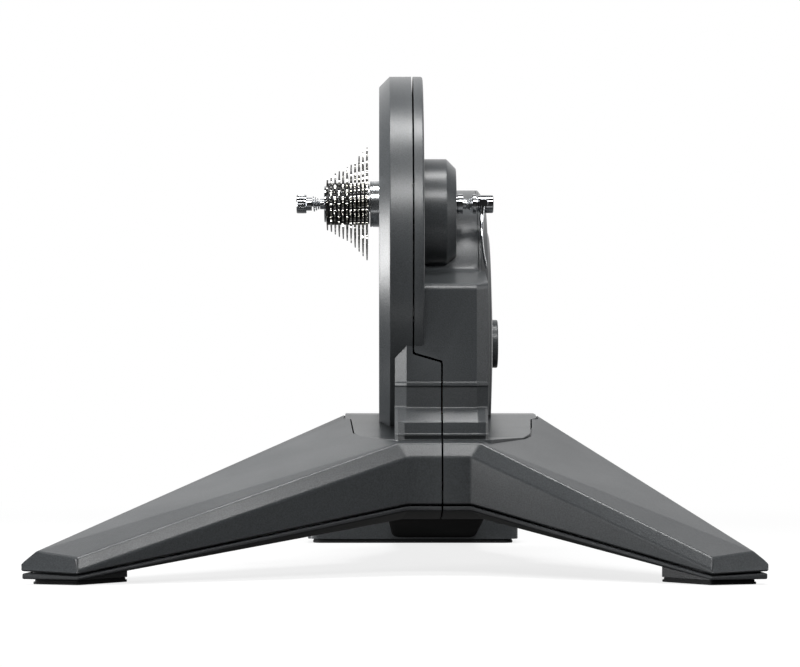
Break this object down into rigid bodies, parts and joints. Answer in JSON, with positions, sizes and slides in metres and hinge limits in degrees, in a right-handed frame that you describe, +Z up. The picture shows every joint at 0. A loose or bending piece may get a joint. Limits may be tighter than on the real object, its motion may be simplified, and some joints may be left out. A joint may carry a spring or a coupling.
{
  "type": "direct drive bike trainer",
  "caption": "Indoor cycling trainer: cassette on a round belt casing, flywheel housing, quick release, and three spreading legs on rubber pads.",
  "frame": {"origin": "on the floor, under the middle of the part's box, below the plane midway between the dropout seats", "axes": "+Z up, -Y towards the bike's front wheel, +X to the quick-release lever side, the cassette on the -X side"},
  "size_m": [0.642, 0.67, 0.4634],
  "materials": {
    "casing_plastic": "fine textured charcoal",
    "leg_paint": "fine textured charcoal powder coat",
    "cover_plastic": "fine textured dark grey",
    "pad_rubber": "matt black",
    "coil_copper": "enamelled copper wire",
    "sprocket_nickel": "nickel plate",
    "bearing_steel": "ground steel",
    "beam_paint": "black paint",
    "frame_casting": "machined casting",
    "shaft_steel": "ground steel",
    "cap_chrome": "polished",
    "hub_aluminium": "turned",
    "belt_rubber": "ribbed belt",
    "flywheel_steel": "turned",
    "stator_steel": "dark coated",
    "board_laminate": "green solder mask",
    "inlet_plastic": "black",
    "skewer_steel": "zinc plate",
    "skewer_chrome": "polished",
    "spring_steel": "zinc plate"
  },
  "bodies": {
    "base": {"left_casing": "casing_plastic", "right_casing": "casing_plastic", "flywheel_cover": "casing_plastic", "flywheel_cap": "casing_plastic", "left_leg_shell": "leg_paint", "right_leg_shell": "leg_paint", "rear_leg_shell": "leg_paint", "rear_foot": "leg_paint", "left_leg_cover": "cover_plastic", "right_leg_cover": "cover_plastic", "rear_leg_cover": "cover_plastic", "left_foot_pad": "pad_rubber", "right_foot_pad": "pad_rubber", "rear_foot_pad": "pad_rubber", "brake_coil_1": "coil_copper", "brake_coil_2": "coil_copper", "brake_coil_3": "coil_copper", "brake_coil_4": "coil_copper", "freehub_bearing_outer": "bearing_steel", "freehub_bearing_inner": "bearing_steel", "hub_bearing_left": "bearing_steel", "hub_bearing_right": "bearing_steel", "flywheel_bearing_left": "bearing_steel", "flywheel_bearing_right": "bearing_steel", "rear_beam": "beam_paint", "main_frame": "frame_casting", "axle": "shaft_steel", "left_end_cap": "cap_chrome", "right_end_cap": "cap_chrome", "drive_belt": "belt_rubber", "brake_stator": "stator_steel", "control_board": "board_laminate", "power_inlet": "inlet_plastic", "lever_side_spring": "spring_steel"},
    "flywheel": {"flywheel": "flywheel_steel", "flywheel_shaft": "shaft_steel", "small_pulley": "flywheel_steel"},
    "pulley": {"hub_shell": "hub_aluminium", "drive_pulley": "hub_aluminium"},
    "cassette": {"freehub_body": "hub_aluminium", "lockring": "cap_chrome", "sprocket_25": "sprocket_nickel", "sprocket_23": "sprocket_nickel", "sprocket_21": "sprocket_nickel", "sprocket_19": "sprocket_nickel", "sprocket_17": "sprocket_nickel", "sprocket_16": "sprocket_nickel", "sprocket_15": "sprocket_nickel", "sprocket_14": "sprocket_nickel", "sprocket_13": "sprocket_nickel", "sprocket_12": "sprocket_nickel", "sprocket_11": "sprocket_nickel"},
    "skewer_head": {"skewer_head": "skewer_chrome"},
    "skewer_lever": {"skewer_lever": "skewer_chrome"},
    "skewer_rod": {"skewer_rod": "skewer_steel"},
    "nut_spring": {"nut_side_spring": "spring_steel"},
    "skewer_nut": {"skewer_nut": "skewer_chrome"}
  },
  "joints": [
    {"name": "flywheel_spin", "type": "hinge", "parent": "base", "child": "flywheel", "pos_m": [0, 0.03, 0.21], "axis": [1, 0, 0], "continuous": true},
    {"name": "pulley_spin", "type": "hinge", "parent": "base", "child": "pulley", "pos_m": [0, -0.085, 0.34], "axis": [1, 0, 0], "continuous": true},
    {"name": "freewheel_spin", "type": "hinge", "parent": "pulley", "child": "cassette", "pos_m": [0, -0.085, 0.34], "axis": [1, 0, 0], "continuous": true},
    {"name": "skewer_turn", "type": "hinge", "parent": "base", "child": "skewer_head", "pos_m": [0, -0.085, 0.34], "axis": [1, 0, 0], "range_deg": [-90, 0]},
    {"name": "lever_throw", "type": "hinge", "parent": "skewer_head", "child": "skewer_lever", "pos_m": [0.0839, -0.085, 0.34], "axis": [0, -1, 0], "range_deg": [0, 180]},
    {"name": "rod_slide", "type": "slide", "parent": "skewer_head", "child": "skewer_rod", "axis": [1, 0, 0], "range_m": [-0.003, 0]},
    {"name": "nut_travel", "type": "slide", "parent": "skewer_rod", "child": "nut_spring", "axis": [-1, 0, 0], "range_m": [0, 0.005]},
    {"name": "nut_turn", "type": "hinge", "parent": "nut_spring", "child": "skewer_nut", "pos_m": [0, -0.085, 0.34], "axis": [-1, 0, 0], "range_deg": [0, 2250]}
  ],
  "couplings": [
    {"joint": "pulley_spin", "follows": "flywheel_spin", "ratio": 0.15385},
    {"joint": "lever_throw", "follows": "rod_slide", "rad_per_m": -1047.1},
    {"joint": "nut_turn", "follows": "nut_travel", "rad_per_m": 7853.2}
  ]
}
